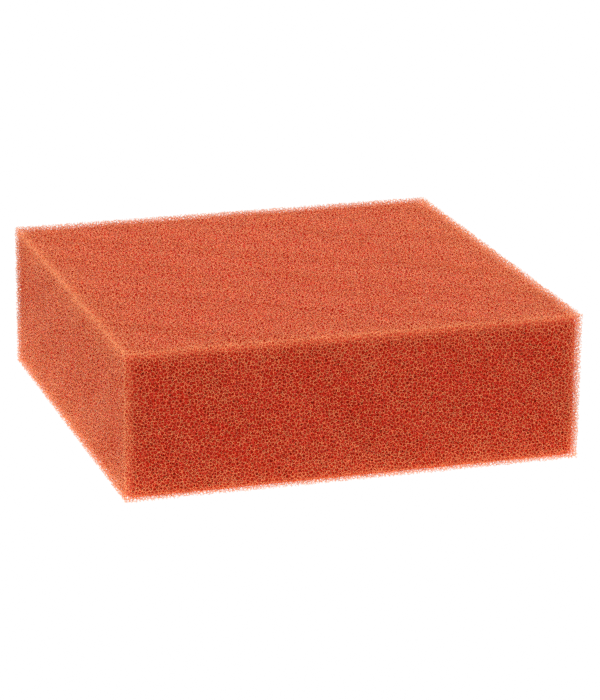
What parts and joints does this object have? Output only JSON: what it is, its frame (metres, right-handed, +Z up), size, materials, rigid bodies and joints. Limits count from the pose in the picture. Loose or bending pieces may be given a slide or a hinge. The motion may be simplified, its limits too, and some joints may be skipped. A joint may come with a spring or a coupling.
{
  "type": "open-cell foam block",
  "caption": "Square slab of coarse open-cell foam with flat knife-cut faces and sharp edges, for filtering, cushioning, packing or filling a stand.",
  "frame": {"origin": "centre of the bottom face", "axes": "+Z up through the thickness, +X along the front edge, front face looks along -Y"},
  "size_m": [0.25, 0.25, 0.08],
  "materials": {
    "foam": "matte orange-red open-cell polyurethane foam, all faces knife-cut across a fine web of struts"
  },
  "bodies": {
    "root": {"foam_block": "foam"}
  },
  "joints": []
}
